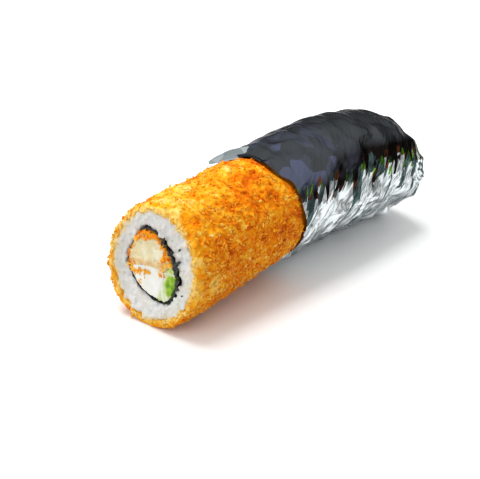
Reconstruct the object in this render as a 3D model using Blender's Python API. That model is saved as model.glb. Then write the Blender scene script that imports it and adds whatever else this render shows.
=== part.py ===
"""Breaded sushi roll lying on its side, its rear half wrapped in aluminium foil.

The roll's length lies along Y. Its open face, where rice and filling show, looks towards -Y, and
the foil is folded shut at the +Y end. The origin is at the middle of the underside, Z is up.
Every layer runs the length of the roll. Lengths are in metres.
"""

import math

import bmesh
import bpy
from mathutils import Vector, noise

# Driving dimensions.
FACE_Y = -0.0815  # the middle of the open face
FACE_LEAN = 0.15  # how far the face leans back for each metre of height
FOOD_END_Y = 0.070  # the food's flat end, inside the folded foil
FOIL_EDGE_Y = -0.0180  # the foil's open edge
ROLL_CENTRE_Z = 0.0248  # height of the middle of the rice above the table
FLAT_SINK = 0.0010  # how much of the round underside is pressed flat
GAP = 0.0003  # clearance between touching layers
FOIL_WALL = 0.0006  # several crumpled layers of foil pressed together

RICE_HALF_WIDTH = 0.0215
RICE_HALF_HEIGHT = 0.0222
NORI_WALL = 0.0006
# The nori's uneven outline on the face: degrees from +X towards +Z, distance from the rice's middle.
NORI_OUTLINE = (
    (0.0, 0.0137),
    (12.0, 0.0125),
    (52.0, 0.0113),
    (85.0, 0.0129),
    (100.0, 0.0150),
    (117.0, 0.0157),
    (150.0, 0.0132),
    (178.0, 0.0138),
    (210.0, 0.0119),
    (240.0, 0.0113),
    (268.0, 0.0120),
    (290.0, 0.0140),
    (310.0, 0.0160),
    (340.0, 0.0144),
    (360.0, 0.0137),
)
CRUST_EDGE_ROUND = 0.0014  # rounding of the crust where it meets the face

# The crust from the face to the food's end: y, half width, top, as heights above the table.
CRUST_STATIONS = (
    (-0.0810, 0.0240, 0.0496),
    (-0.0715, 0.0242, 0.0514),
    (-0.0575, 0.0240, 0.0516),
    (-0.0415, 0.0243, 0.0524),
    (-0.0265, 0.0249, 0.0536),
    (-0.0135, 0.0247, 0.0534),
    (0.0300, 0.0243, 0.0516),
    (FOOD_END_Y, 0.0238, 0.0484),
)
# The foil from its open edge to the folded end: y, half width, top.
FOIL_STATIONS = (
    (-0.0415, 0.0272, 0.0590),
    (FOIL_EDGE_Y, 0.0268, 0.0572),
    (0.0100, 0.0270, 0.0575),
    (0.0450, 0.0272, 0.0554),
    (0.0720, 0.0274, 0.0520),
    (0.0780, 0.0264, 0.0492),
    (0.0820, 0.0244, 0.0455),
)
# The folded end: y, and the section's share of its size at the last station.
FOIL_FOLD = ((0.0842, 0.85), (0.0851, 0.60), (0.0855, 0.30))
FOIL_POLE_Y = 0.0857

FLAP_ANGLE = math.radians(118.0)  # the loose lip's middle, turned from +X towards +Z
FLAP_SPREAD = math.radians(26.0)
FLAP_REACH = 0.0100  # how far the lip stands out over the bare crust
FLAP_LIFT = 0.0016
EDGE_BACK = 0.0029  # how far behind FOIL_EDGE_Y the foil's edge runs on the sides and below
EDGE_FORWARD = 0.0062  # how much farther forward it runs over the top
EDGE_TURN = (0.68, 0.98)  # the heights, as a share of the section's, between which it moves forward

# Where the fillings' borders reach the nori, in degrees, and where the three strips meet.
BORDER_RIGHT = 16.0
BORDER_LEFT = 195.0
BORDER_BOTTOM = 292.0
FILLINGS_MEET = (0.0074, ROLL_CENTRE_Z + 0.0004)
CHEESE_SWELL = 0.0013  # how far each border bows out
CHICKEN_SWELL = 0.0006
ONION_SWELL = 0.0004

AROUND = 52  # points round a section
CRUST_STEPS = 22
FOIL_STEPS = 26
CORNER_SPREAD = 0.35  # keeps a sharp corner's inset from running far out
SHARP_ANGLE = math.radians(40.0)
STEP_AHEAD = 0.0015  # the crust's underside steps up this far ahead of the foil
STEP_RUN = 0.0080
FACE_BLEND = 4.0  # the lean dies away over this fraction, one in so many, of the length
LUMP = 0.0005  # height of the crust's lumps
LUMP_SCALE = 160.0
CRINKLE = 0.0009  # height of the foil's crinkles
CRINKLE_SCALE = (150.0, 100.0, 150.0)
PLEATS = 9  # folds drawn together at the foil's shut end
PLEAT_DEPTH = 0.05  # as a share of the section


def clear_scene():
    for obj in list(bpy.data.objects):
        bpy.data.objects.remove(obj, do_unlink=True)


def make_material(name, colour, roughness, metallic=0.0):
    material = bpy.data.materials.new(name)
    material.use_nodes = True
    shader = material.node_tree.nodes["Principled BSDF"]
    shader.inputs["Base Color"].default_value = (*colour, 1.0)
    shader.inputs["Roughness"].default_value = roughness
    shader.inputs["Metallic"].default_value = metallic
    material.diffuse_color = (*colour, 1.0)
    return material


def angles():
    return [2.0 * math.pi * step / AROUND for step in range(AROUND)]


def smooth_step(value):
    value = min(1.0, max(0.0, value))
    return value * value * (3.0 - 2.0 * value)


def station_at(stations, y):
    """Half width and top at y, eased between the stations on each side of it."""
    if y <= stations[0][0]:
        return stations[0][1:]
    for before, after in zip(stations, stations[1:]):
        if y <= after[0]:
            share = smooth_step((y - before[0]) / (after[0] - before[0]))
            return tuple(a + (b - a) * share for a, b in zip(before[1:], after[1:]))
    return stations[-1][1:]


def oval_point(angle, half_width, top, floor):
    """A point of an oval section whose lowest part, before it is pressed flat, is under the floor."""
    bottom = floor - FLAT_SINK
    centre = (top + bottom) / 2.0
    half_height = (top - bottom) / 2.0
    return half_width * math.cos(angle), centre + half_height * math.sin(angle)


def face_y(z):
    """The leaning open face at height z."""
    return FACE_Y + FACE_LEAN * (z - ROLL_CENTRE_Z)


def crust_floor(y):
    """Height of the crust's underside, which steps up onto the foil."""
    start = FOIL_EDGE_Y - STEP_AHEAD - STEP_RUN
    return (FOIL_WALL + GAP) * smooth_step((y - start) / STEP_RUN)


def rice_radius(angle, extra=0.0):
    across = math.cos(angle) / (RICE_HALF_WIDTH + extra)
    along = math.sin(angle) / (RICE_HALF_HEIGHT + extra)
    return 1.0 / math.hypot(across, along)


def rice_outline(extra=0.0):
    points = []
    for angle in angles():
        radius = rice_radius(angle, extra)
        points.append((radius * math.cos(angle), ROLL_CENTRE_Z + radius * math.sin(angle)))
    return points


def nori_point(angle, extra=0.0):
    """A point of the uneven loop that the nori makes round the filling."""
    turned = math.degrees(angle) % 360.0
    radius = extra
    for before, after in zip(NORI_OUTLINE, NORI_OUTLINE[1:]):
        if before[0] <= turned <= after[0]:
            share = (turned - before[0]) / (after[0] - before[0])
            radius += before[1] + (after[1] - before[1]) * share
            break
    return radius * math.cos(angle), ROLL_CENTRE_Z + radius * math.sin(angle)


def nori_outline(extra=0.0):
    return [nori_point(angle, extra) for angle in angles()]


def add_object(name, mesh_builder, material):
    """Turns a finished bmesh into a smooth-shaded object with sharp edges kept sharp."""
    bmesh.ops.recalc_face_normals(mesh_builder, faces=mesh_builder.faces)
    mesh = bpy.data.meshes.new(name)
    mesh_builder.to_mesh(mesh)
    mesh_builder.free()
    mesh.materials.append(material)
    mesh.shade_smooth()
    mesh.set_sharp_from_angle(angle=SHARP_ANGLE)
    obj = bpy.data.objects.new(name, mesh)
    bpy.context.scene.collection.objects.link(obj)
    return obj


def skin_rings(rings, close_loop, pole_first=None, pole_last=None):
    """Faces between successive rings. A loop of rings is closed, or each end runs to its pole."""
    builder = bmesh.new()
    loops = [[builder.verts.new(point) for point in ring] for ring in rings]
    pairs = list(zip(loops, loops[1:]))
    if close_loop:
        pairs.append((loops[-1], loops[0]))
    for first, second in pairs:
        for step in range(len(first)):
            after = (step + 1) % len(first)
            builder.faces.new((first[step], first[after], second[after], second[step]))
    for pole, loop in ((pole_first, loops[0]), (pole_last, loops[-1])):
        if pole is None:
            continue
        tip = builder.verts.new(pole)
        for step in range(len(loop)):
            builder.faces.new((loop[step], loop[(step + 1) % len(loop)], tip))
    return builder


def food_ring(outline, at_face):
    """An outline stood on the leaning face, or on the food's flat end."""
    return [Vector((x, face_y(z) if at_face else FOOD_END_Y, z)) for x, z in outline]


def make_tube(name, outer, inner, material):
    rings = [food_ring(inner, False), food_ring(inner, True)]
    rings += [food_ring(outer, True), food_ring(outer, False)]
    return add_object(name, skin_rings(rings, close_loop=True), material)


def crust_ring(along, rounding=0.0, rough=True):
    """One lumpy ring of the crust. The rings near the face lean back with it."""
    half_width, top = station_at(CRUST_STATIONS, along)
    share = (along - FACE_Y) / (FOOD_END_Y - FACE_Y)
    ring = []
    for angle in angles():
        x, z = oval_point(angle, half_width - rounding, top - rounding, crust_floor(along))
        y = along + (face_y(z) - FACE_Y) * (1.0 - smooth_step(share * FACE_BLEND))
        lump = LUMP * noise.noise(Vector((x, y, z)) * LUMP_SCALE) if rough else 0.0
        x += lump * math.cos(angle)
        z = max(crust_floor(y), z + lump * math.sin(angle))
        ring.append(Vector((x, y, z)))
    return ring


def make_crust(material):
    """The breaded crust: a lumpy shell round the rice, rounded over at the face."""
    inner = rice_outline(GAP)
    rings = [food_ring(inner, False), food_ring(inner, True)]
    rings.append(crust_ring(FACE_Y, rounding=CRUST_EDGE_ROUND, rough=False))
    start = FACE_Y + CRUST_EDGE_ROUND
    for step in range(CRUST_STEPS):
        rings.append(crust_ring(start + (FOOD_END_Y - start) * step / CRUST_STEPS))
    rings.append(crust_ring(FOOD_END_Y, rough=False))
    return add_object("panko_crust", skin_rings(rings, close_loop=True), material)


def foil_edge_y(angle):
    """The foil's open edge, farther forward over the top and with one loose lip."""
    low, high = EDGE_TURN
    over_top = smooth_step((math.sin(angle) - low) / (high - low))
    return FOIL_EDGE_Y + EDGE_BACK - EDGE_FORWARD * over_top - FLAP_REACH * flap_share(angle)


def flap_share(angle):
    return math.exp(-(((angle - FLAP_ANGLE) / FLAP_SPREAD) ** 2) * 2.0)


def foil_point(angle, y, inset):
    """A point of the foil's crinkled outer skin, or of its smooth inner skin when inset."""
    half_width, top = station_at(FOIL_STATIONS, y)
    lift = FLAP_LIFT * flap_share(angle) * smooth_step((FOIL_EDGE_Y - y) / FLAP_REACH)
    if inset:
        x, z = oval_point(angle, half_width - inset, top - inset, FOIL_WALL)
        spread = lift
    else:
        x, z = oval_point(angle, half_width, top, 0.0)
        spread = lift + CRINKLE * noise.noise(Vector((x, y, z)) * Vector(CRINKLE_SCALE))
    x += spread * math.cos(angle)
    z += spread * math.sin(angle)
    return x, max(FOIL_WALL if inset else 0.0, z)


def foil_rings(inset, end_y):
    """Rings of one skin from the open edge to the end of the straight run."""
    rings = []
    for step in range(FOIL_STEPS + 1):
        share = step / FOIL_STEPS
        ring = []
        for angle in angles():
            start = foil_edge_y(angle)
            y = start + (end_y - start) * share
            x, z = foil_point(angle, y, inset)
            ring.append(Vector((x, y, z)))
        rings.append(ring)
    return rings


def folded_rings(last_ring, shift, wall):
    """Rings that fold the foil shut behind the food, keeping its underside near the table."""
    middle = Vector((0.0, 0.0, 0.0))
    for point in last_ring:
        middle += point / len(last_ring)
    rings = []
    for y, share in FOIL_FOLD:
        ring = []
        for angle, point in zip(angles(), last_ring):
            pull = share * (1.0 - PLEAT_DEPTH * (1.0 - math.cos(PLEATS * angle)))
            x = middle.x + (point.x - middle.x) * pull
            z = middle.z + (point.z - middle.z) * pull
            ring.append(Vector((x, y - shift, max(wall, z))))
        rings.append(ring)
    pole = Vector((middle.x, FOIL_POLE_Y - shift, middle.z))
    return rings, pole


def make_foil(material):
    """The foil wrap: a thin crinkled cup round the rear of the roll, folded shut at the end."""
    inset = FOIL_WALL + CRINKLE
    outer = foil_rings(0.0, FOIL_STATIONS[-1][0])
    inner = foil_rings(inset, FOIL_STATIONS[-1][0] - FOIL_WALL)
    outer_fold, outer_pole = folded_rings(outer[-1], 0.0, 0.0)
    inner_fold, inner_pole = folded_rings(inner[-1], 2.0 * FOIL_WALL, FOIL_WALL)
    rings = inner_fold[::-1] + inner[::-1] + outer + outer_fold
    builder = skin_rings(rings, close_loop=False, pole_first=inner_pole, pole_last=outer_pole)
    return add_object("foil_wrap", builder, material)


def arc_of_nori(start_degrees, end_degrees, steps=14):
    """Points along the inside of the nori, against the clock from +X."""
    shrink = -(NORI_WALL + GAP)
    points = []
    for step in range(steps + 1):
        angle = math.radians(start_degrees + (end_degrees - start_degrees) * step / steps)
        points.append(nori_point(angle, shrink))
    return points


def curve_between(start, end, bulge, steps=8):
    """The inner points of a shallow curve from start to end, bowed to its left by bulge."""
    run = Vector(end) - Vector(start)
    side = Vector((-run.y, run.x)).normalized() * bulge
    points = []
    for step in range(1, steps):
        share = step / steps
        point = Vector(start) + run * share + side * (4.0 * share * (1.0 - share))
        points.append((point.x, point.y))
    return points


def inset_outline(points, distance):
    """Moves each side of a closed outline inwards, so that neighbours keep a clearance."""
    moved = []
    for before, here, after in zip(points[-1:] + points[:-1], points, points[1:] + points[:1]):
        first = (Vector(here) - Vector(before)).normalized()
        second = (Vector(after) - Vector(here)).normalized()
        inward = Vector((-first.y - second.y, first.x + second.x)).normalized()
        along = inward.dot(Vector((-first.y, first.x)))
        shift = inward * (distance / max(CORNER_SPREAD, along))
        moved.append((here[0] + shift.x, here[1] + shift.y))
    return moved


def make_prism(name, outline, material):
    """A filling strip: one outline carried from the open face to the food's end."""
    builder = bmesh.new()
    front = [builder.verts.new(point) for point in food_ring(outline, True)]
    back = [builder.verts.new(point) for point in food_ring(outline, False)]
    builder.faces.new(front)
    builder.faces.new(back)
    for step in range(len(front)):
        after = (step + 1) % len(front)
        builder.faces.new((front[step], front[after], back[after], back[step]))
    return add_object(name, builder, material)


def make_fillings(chicken_material, cheese_material, onion_material):
    """Three strips share the space inside the nori and meet at one line."""
    inner = -(NORI_WALL + GAP)
    right_end = nori_point(math.radians(BORDER_RIGHT), inner)
    left_end = nori_point(math.radians(BORDER_LEFT), inner)
    bottom_end = nori_point(math.radians(BORDER_BOTTOM), inner)

    chicken = arc_of_nori(BORDER_RIGHT, BORDER_LEFT)
    chicken += curve_between(left_end, FILLINGS_MEET, CHEESE_SWELL) + [FILLINGS_MEET]
    chicken += curve_between(FILLINGS_MEET, right_end, CHICKEN_SWELL)
    cheese = arc_of_nori(BORDER_LEFT, BORDER_BOTTOM)
    cheese += curve_between(bottom_end, FILLINGS_MEET, ONION_SWELL) + [FILLINGS_MEET]
    cheese += curve_between(FILLINGS_MEET, left_end, -CHEESE_SWELL)
    onion = arc_of_nori(BORDER_BOTTOM, BORDER_RIGHT + 360.0)
    onion += curve_between(right_end, FILLINGS_MEET, -CHICKEN_SWELL) + [FILLINGS_MEET]
    onion += curve_between(FILLINGS_MEET, bottom_end, -ONION_SWELL)
    make_prism("breaded_chicken", inset_outline(chicken, GAP / 2.0), chicken_material)
    make_prism("cream_cheese", inset_outline(cheese, GAP / 2.0), cheese_material)
    make_prism("spring_onion", inset_outline(onion, GAP / 2.0), onion_material)


def main():
    clear_scene()
    crust = make_material("panko_crust", (0.83, 0.36, 0.05), 0.65)
    rice = make_material("rice", (0.80, 0.78, 0.74), 0.45)
    nori = make_material("nori", (0.012, 0.016, 0.012), 0.45)
    chicken = make_material("breaded_chicken", (0.80, 0.58, 0.30), 0.50)
    cheese = make_material("cream_cheese", (0.86, 0.84, 0.76), 0.40)
    onion = make_material("spring_onion", (0.22, 0.42, 0.08), 0.40)
    foil = make_material("foil", (0.80, 0.81, 0.83), 0.20, metallic=1.0)
    make_crust(crust)
    make_tube("rice_layer", rice_outline(), nori_outline(NORI_WALL / 2.0 + GAP), rice)
    make_tube("nori_sheet", nori_outline(NORI_WALL / 2.0), nori_outline(-NORI_WALL / 2.0), nori)
    make_fillings(chicken, cheese, onion)
    make_foil(foil)


main()
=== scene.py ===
"""Looks of a breaded sushi hand roll whose rear half is wrapped in aluminium foil.

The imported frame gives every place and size. The crust, rice, seaweed, filling and foil are each
modelled here in full and stand for the plain solids of the same name. Lengths are in metres.
"""

import logging
import math
from collections.abc import Callable, Iterator, Sequence
from contextlib import contextmanager
from dataclasses import dataclass, field
from enum import Enum

import bpy
import numpy as np
from mathutils import Matrix, Vector, noise
from numpy.typing import NDArray


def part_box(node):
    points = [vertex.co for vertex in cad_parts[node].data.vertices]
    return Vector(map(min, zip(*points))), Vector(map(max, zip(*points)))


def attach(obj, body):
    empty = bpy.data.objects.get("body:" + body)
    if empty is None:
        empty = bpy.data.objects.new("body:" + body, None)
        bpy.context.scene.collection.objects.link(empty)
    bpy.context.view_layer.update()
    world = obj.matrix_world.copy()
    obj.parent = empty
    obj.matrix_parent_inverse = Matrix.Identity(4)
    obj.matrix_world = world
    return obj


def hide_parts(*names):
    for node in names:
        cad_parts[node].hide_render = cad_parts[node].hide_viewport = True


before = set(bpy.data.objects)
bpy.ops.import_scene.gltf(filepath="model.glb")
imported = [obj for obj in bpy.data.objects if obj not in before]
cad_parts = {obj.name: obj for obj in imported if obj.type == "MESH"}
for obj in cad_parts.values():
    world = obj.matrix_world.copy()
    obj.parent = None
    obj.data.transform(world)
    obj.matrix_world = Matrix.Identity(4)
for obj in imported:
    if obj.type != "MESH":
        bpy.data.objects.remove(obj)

LOG = logging.getLogger("hand_roll")
Array = NDArray[np.float64]
Colour = tuple[float, float, float]
MM = 0.001
BODY = "root"


class Slot(Enum):
    """Names of the material slots; nothing in the script uses them."""

    CRUST = "crust"
    RICE = "rice"
    NORI = "nori"
    CHICKEN = "chicken"
    CHEESE = "cheese"
    ONION = "onion"
    FOIL = "foil"


# --- Modelling helpers ---------------------------------------------------------------------------


def deselect_all() -> None:
    """Leaves nothing selected and no object active."""
    if bpy.context.mode != "OBJECT":
        bpy.ops.object.mode_set(mode="OBJECT")
    bpy.ops.object.select_all(action="DESELECT")
    bpy.context.view_layer.objects.active = None


def pick(piece: bpy.types.Object) -> None:
    """Selects one object alone and makes it active."""
    deselect_all()
    piece.select_set(True)
    bpy.context.view_layer.objects.active = piece


@contextmanager
def editing(piece: bpy.types.Object) -> Iterator[None]:
    """Edit mode on one piece with everything in it selected."""
    pick(piece)
    bpy.ops.object.mode_set(mode="EDIT")
    bpy.ops.mesh.select_all(action="SELECT")
    try:
        yield
    finally:
        bpy.ops.object.mode_set(mode="OBJECT")


def points_of(piece: bpy.types.Object) -> Array:
    """The piece's vertices as an N by 3 array."""
    flat = np.empty(len(piece.data.vertices) * 3)
    piece.data.vertices.foreach_get("co", flat)
    return flat.reshape(-1, 3)


def move_points(piece: bpy.types.Object, points: Array) -> None:
    """Puts the piece's vertices at new places."""
    piece.data.vertices.foreach_set("co", points.astype(np.float32).ravel())
    piece.data.update()


def normals_of(piece: bpy.types.Object) -> Array:
    """The piece's vertex normals as an N by 3 array."""
    flat = np.empty(len(piece.data.vertices) * 3)
    piece.data.vertex_normals.foreach_get("vector", flat)
    return flat.reshape(-1, 3)


def store(piece: bpy.types.Object, name: str, values: Array) -> None:
    """Keeps one number for each vertex, for the finish to read.

    Args:
        piece: the mesh object.
        name: the attribute's name.
        values: one value for each vertex.
    """
    layer = piece.data.attributes.get(name) or piece.data.attributes.new(name, "FLOAT", "POINT")
    layer.data.foreach_set("value", np.asarray(values, dtype=np.float32))


def merge_close(piece: bpy.types.Object, distance: float = 1e-6) -> None:
    """Joins vertices that share a place and turns all faces outwards."""
    with editing(piece):
        bpy.ops.mesh.remove_doubles(threshold=distance)
        bpy.ops.mesh.normals_make_consistent(inside=False)


def finish_modifiers(piece: bpy.types.Object) -> None:
    """Applies every modifier on the piece in order."""
    pick(piece)
    for modifier in list(piece.modifiers):
        bpy.ops.object.modifier_apply(modifier=modifier.name)


def remesh(piece: bpy.types.Object, voxel: float, smooth_rounds: int = 2) -> None:
    """Fuses all that the piece holds into one even skin.

    Args:
        piece: the mesh object.
        voxel: the new faces' size.
        smooth_rounds: how often the new skin is relaxed.
    """
    modifier = piece.modifiers.new("fuse", "REMESH")
    modifier.mode = "VOXEL"
    modifier.voxel_size = voxel
    relax = piece.modifiers.new("relax", "SMOOTH")
    relax.iterations = smooth_rounds
    finish_modifiers(piece)


def displace(
    piece: bpy.types.Object, kind: str, size: float, height: float, group: str = "", **settings: float
) -> None:
    """Raises a relief along the normals from one of Blender's own solid textures.

    Args:
        piece: the mesh object.
        kind: the texture's type, such as CLOUDS or VORONOI.
        size: the pattern's size.
        height: the relief's full height.
        group: the vertex group that limits it, if any.
        settings: further values for the texture.
    """
    texture = bpy.data.textures.new(f"{piece.name}_{kind.lower()}", kind)
    texture.noise_scale = size
    for key, value in settings.items():
        setattr(texture, key, value)
    modifier = piece.modifiers.new("relief", "DISPLACE")
    modifier.texture = texture
    modifier.strength = height
    modifier.mid_level = 0.5
    modifier.texture_coords = "LOCAL"
    modifier.vertex_group = group
    finish_modifiers(piece)
    bpy.data.textures.remove(texture)


def limit_group(piece: bpy.types.Object, name: str, weights: Array) -> None:
    """Makes a vertex group with one weight for each vertex."""
    group = piece.vertex_groups.new(name=name)
    steps = np.clip(np.round(weights * 20.0) / 20.0, 0.0, 1.0)
    for level in np.unique(steps[steps > 0.0]):
        group.add(np.nonzero(steps == level)[0].tolist(), float(level), "REPLACE")


def wrapped_grid(
    name: str, around: int, rows: int, place: Callable[[Array, Array], Array]
) -> bpy.types.Object:
    """A flat grid rolled up into a closed round skin.

    Args:
        name: the new object's name.
        around: faces round the skin.
        rows: faces along it.
        place: turns shares round and along into places.

    Returns:
        The skin, with its seam and poles joined.
    """
    deselect_all()
    bpy.ops.mesh.primitive_grid_add(x_subdivisions=around, y_subdivisions=rows, size=1.0)
    piece = bpy.context.active_object
    piece.name = name
    flat = points_of(piece)
    move_points(piece, place(flat[:, 0] + 0.5, flat[:, 1] + 0.5))
    merge_close(piece)
    return piece


def copy_of_node(node: str, name: str) -> bpy.types.Object:
    """A merged copy of one CAD solid, free to be shaped."""
    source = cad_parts[node]
    piece = bpy.data.objects.new(name, source.data.copy())
    bpy.context.scene.collection.objects.link(piece)
    piece.data.materials.clear()
    merge_close(piece, 1e-5)
    return piece


def dress(
    piece: bpy.types.Object, finish: bpy.types.Material, nodes: Sequence[str] = (), crease: float = 35.0
) -> None:
    """Gives a finished piece its material and its body, and hides the CAD nodes that it stands for.

    Args:
        piece: the finished mesh object.
        finish: its material.
        nodes: the CAD nodes that it stands for.
        crease: the angle in degrees over which an edge stays sharp.
    """
    piece.data.materials.clear()
    piece.data.materials.append(finish)
    pick(piece)
    bpy.ops.object.shade_smooth_by_angle(angle=math.radians(crease))
    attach(piece, BODY)
    if nodes:
        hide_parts(*nodes)
    LOG.info("%s: %d faces", piece.name, len(piece.data.polygons))


def smooth_step(value: Array | float) -> Array:
    """Eases from 0 to 1."""
    clipped = np.clip(value, 0.0, 1.0)
    return clipped * clipped * (3.0 - 2.0 * clipped)


def cloud(points: Array, size: float) -> Array:
    """Soft noise at each point, about -0.5 to 0.5.

    Args:
        points: N by 3 places.
        size: the pattern's size.

    Returns:
        One value for each point.
    """
    return np.array([noise.noise(Vector(point)) for point in points / size])


def lying_turns(rng: np.random.Generator, normals: Array, tilt: float) -> Array:
    """Rotations that lay a shape's Z axis along each normal, turned at random and a little tilted."""
    count = len(normals)
    up = normals + rng.normal(size=(count, 3)) * tilt
    up /= np.linalg.norm(up, axis=1, keepdims=True)
    side = np.cross(up, rng.normal(size=(count, 3)))
    side /= np.linalg.norm(side, axis=1, keepdims=True)
    return np.stack([side, np.cross(up, side), up], axis=2)


@dataclass
class Scatter:
    """Many small copies of a few shapes, joined into one mesh."""

    name: str
    shapes: list[bpy.types.Object]
    seats: Array
    turns: Array
    sizes: Array
    tones: Array

    def build(self, rng: np.random.Generator) -> bpy.types.Object:
        """Joins the copies. Each keeps its own tone as an attribute."""
        choice = rng.integers(len(self.shapes), size=len(self.seats))
        points, faces, tones, start = [], [], [], 0
        for index, shape in enumerate(self.shapes):
            used = np.nonzero(choice == index)[0]
            local = points_of(shape)
            corners = np.array([list(face.vertices) for face in shape.data.polygons])
            sized = local[None, :, :] * self.sizes[used][:, None, :]
            placed = np.einsum("nij,nkj->nki", self.turns[used], sized) + self.seats[used][:, None, :]
            points.append(placed.reshape(-1, 3))
            offsets = start + np.arange(len(used))[:, None, None] * len(local)
            faces.append((corners[None, :, :] + offsets).reshape(-1, 3))
            tones.append(np.repeat(self.tones[used], len(local)))
            start += len(used) * len(local)
            bpy.data.objects.remove(shape)
        mesh = bpy.data.meshes.new(self.name)
        mesh.from_pydata(np.concatenate(points).tolist(), [], np.concatenate(faces).tolist())
        piece = bpy.data.objects.new(self.name, mesh)
        bpy.context.scene.collection.objects.link(piece)
        store(piece, "tone", np.concatenate(tones))
        return piece


def crumb_shape(rng: np.random.Generator, index: int) -> bpy.types.Object:
    """One rough panko crumb of unit size: an angular flake."""
    deselect_all()
    bpy.ops.mesh.primitive_ico_sphere_add(subdivisions=1, radius=0.5)
    piece = bpy.context.active_object
    piece.name = f"crumb_shape_{index}"
    points = points_of(piece)
    points *= 1.0 + rng.uniform(-0.38, 0.38, (len(points), 1))
    move_points(piece, points * np.array([1.0, 0.62, 0.45]))
    return piece


def grain_shape() -> bpy.types.Object:
    """One grain of cooked short rice of unit length, blunt at its ends."""
    deselect_all()
    bpy.ops.mesh.primitive_ico_sphere_add(subdivisions=2, radius=0.5)
    piece = bpy.context.active_object
    piece.name = "grain_shape"
    points = points_of(piece) * np.array([1.0, 0.46, 0.40])
    points[:, 2] += 0.10 * points[:, 0] ** 2
    move_points(piece, points)
    return piece


# --- Finishes ------------------------------------------------------------------------------------


class Sketch:
    """A material that is put together node by node."""

    def __init__(self, name: str) -> None:
        self.material = bpy.data.materials.new(name)
        self.material.use_nodes = True
        self.tree = self.material.node_tree
        self.shader = self.tree.nodes["Principled BSDF"]
        self.place = self.tree.nodes.new("ShaderNodeTexCoord").outputs["Object"]

    def add(self, kind: str, **values: object) -> bpy.types.Node:
        """A new node with its properties and inputs set by name."""
        node = self.tree.nodes.new(kind)
        for key, value in values.items():
            if hasattr(node, key):
                setattr(node, key, value)
            else:
                node.inputs[key.replace("_", " ").title()].default_value = value
        return node

    def link(self, source: bpy.types.NodeSocket, target: bpy.types.NodeSocket) -> None:
        """Joins two sockets."""
        self.tree.links.new(source, target)

    def feed(self, target: bpy.types.NodeSocket, value: object) -> None:
        """Sets an input from a socket, a colour or a number."""
        if isinstance(value, bpy.types.NodeSocket):
            self.link(value, target)
        elif isinstance(value, tuple):
            target.default_value = (*value, 1.0)
        else:
            target.default_value = value

    def noise(
        self, scale: float, detail: float = 3.0, stretch: Colour = (1.0, 1.0, 1.0)
    ) -> bpy.types.NodeSocket:
        """Soft solid noise, whose scale is in cycles for each metre."""
        mapping = self.add("ShaderNodeMapping")
        mapping.inputs["Scale"].default_value = stretch
        self.link(self.place, mapping.inputs["Vector"])
        node = self.add("ShaderNodeTexNoise", scale=scale, detail=detail)
        self.link(mapping.outputs["Vector"], node.inputs["Vector"])
        return node.outputs["Fac"]

    def cells(self, scale: float, place: bpy.types.NodeSocket | None = None) -> bpy.types.Node:
        """A solid cell pattern, over the object's own coordinates unless others are given."""
        node = self.add("ShaderNodeTexVoronoi", scale=scale)
        self.link(place or self.place, node.inputs["Vector"])
        return node

    def split(self, vector: bpy.types.NodeSocket) -> tuple[bpy.types.NodeSocket, ...]:
        """The three numbers of a vector."""
        node = self.add("ShaderNodeSeparateXYZ")
        self.link(vector, node.inputs[0])
        return tuple(node.outputs)

    def strokes(self, heading: float, across: float, along: float) -> bpy.types.NodeSocket:
        """Coordinates drawn out along a line that climbs the roll's side at a heading.

        Args:
            heading: degrees from the roll's length towards upright.
            across: cycles for each metre across the line.
            along: cycles for each metre along it.

        Returns:
            The coordinates, for a texture at scale 1.
        """
        x, y, z = self.split(self.place)
        sine, cosine = math.sin(math.radians(heading)), math.cos(math.radians(heading))
        side = self.sum("SUBTRACT", self.sum("MULTIPLY", y, sine), self.sum("MULTIPLY", z, cosine))
        length = self.sum("ADD", self.sum("MULTIPLY", y, cosine), self.sum("MULTIPLY", z, sine))
        node = self.add("ShaderNodeCombineXYZ")
        self.feed(node.inputs[0], self.sum("MULTIPLY", x, along))
        self.feed(node.inputs[1], self.sum("MULTIPLY", side, across))
        self.feed(node.inputs[2], self.sum("MULTIPLY", length, along))
        return node.outputs[0]

    def attribute(self, name: str) -> bpy.types.NodeSocket:
        """A number that the mesh keeps for each vertex."""
        return self.add("ShaderNodeAttribute", attribute_name=name).outputs["Fac"]

    def ramp(
        self, factor: bpy.types.NodeSocket, stops: Sequence[tuple[float, Colour]]
    ) -> bpy.types.NodeSocket:
        """Colours along a factor."""
        node = self.add("ShaderNodeValToRGB")
        band = node.color_ramp
        while len(band.elements) < len(stops):
            band.elements.new(0.5)
        for element, (position, colour) in zip(band.elements, stops):
            element.position = position
            element.color = (*colour, 1.0)
        self.link(factor, node.inputs["Fac"])
        return node.outputs["Color"]

    def span(self, value: bpy.types.NodeSocket, low: float, high: float) -> bpy.types.NodeSocket:
        """A value brought from low to high to run from 0 to 1."""
        node = self.add("ShaderNodeMapRange")
        node.inputs["From Min"].default_value = low
        node.inputs["From Max"].default_value = high
        self.link(value, node.inputs["Value"])
        return node.outputs["Result"]

    def mix(self, factor: object, first: object, second: object, blend: str = "MIX") -> bpy.types.NodeSocket:
        """Two colours mixed by a factor."""
        node = self.add("ShaderNodeMix", data_type="RGBA", blend_type=blend)
        self.feed(node.inputs[0], factor)
        self.feed(node.inputs[6], first)
        self.feed(node.inputs[7], second)
        return node.outputs[2]

    def sum(self, operation: str, first: object, second: object, clamp: bool = False) -> bpy.types.NodeSocket:
        """Two numbers worked together."""
        node = self.add("ShaderNodeMath", operation=operation, use_clamp=clamp)
        self.feed(node.inputs[0], first)
        self.feed(node.inputs[1], second)
        return node.outputs[0]

    def bump(self, height: bpy.types.NodeSocket, distance: float, strength: float = 1.0) -> None:
        """Fine relief under what the mesh shows."""
        node = self.add("ShaderNodeBump")
        node.inputs["Distance"].default_value = distance
        node.inputs["Strength"].default_value = strength
        self.link(height, node.inputs["Height"])
        self.link(node.outputs["Normal"], self.shader.inputs["Normal"])

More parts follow.
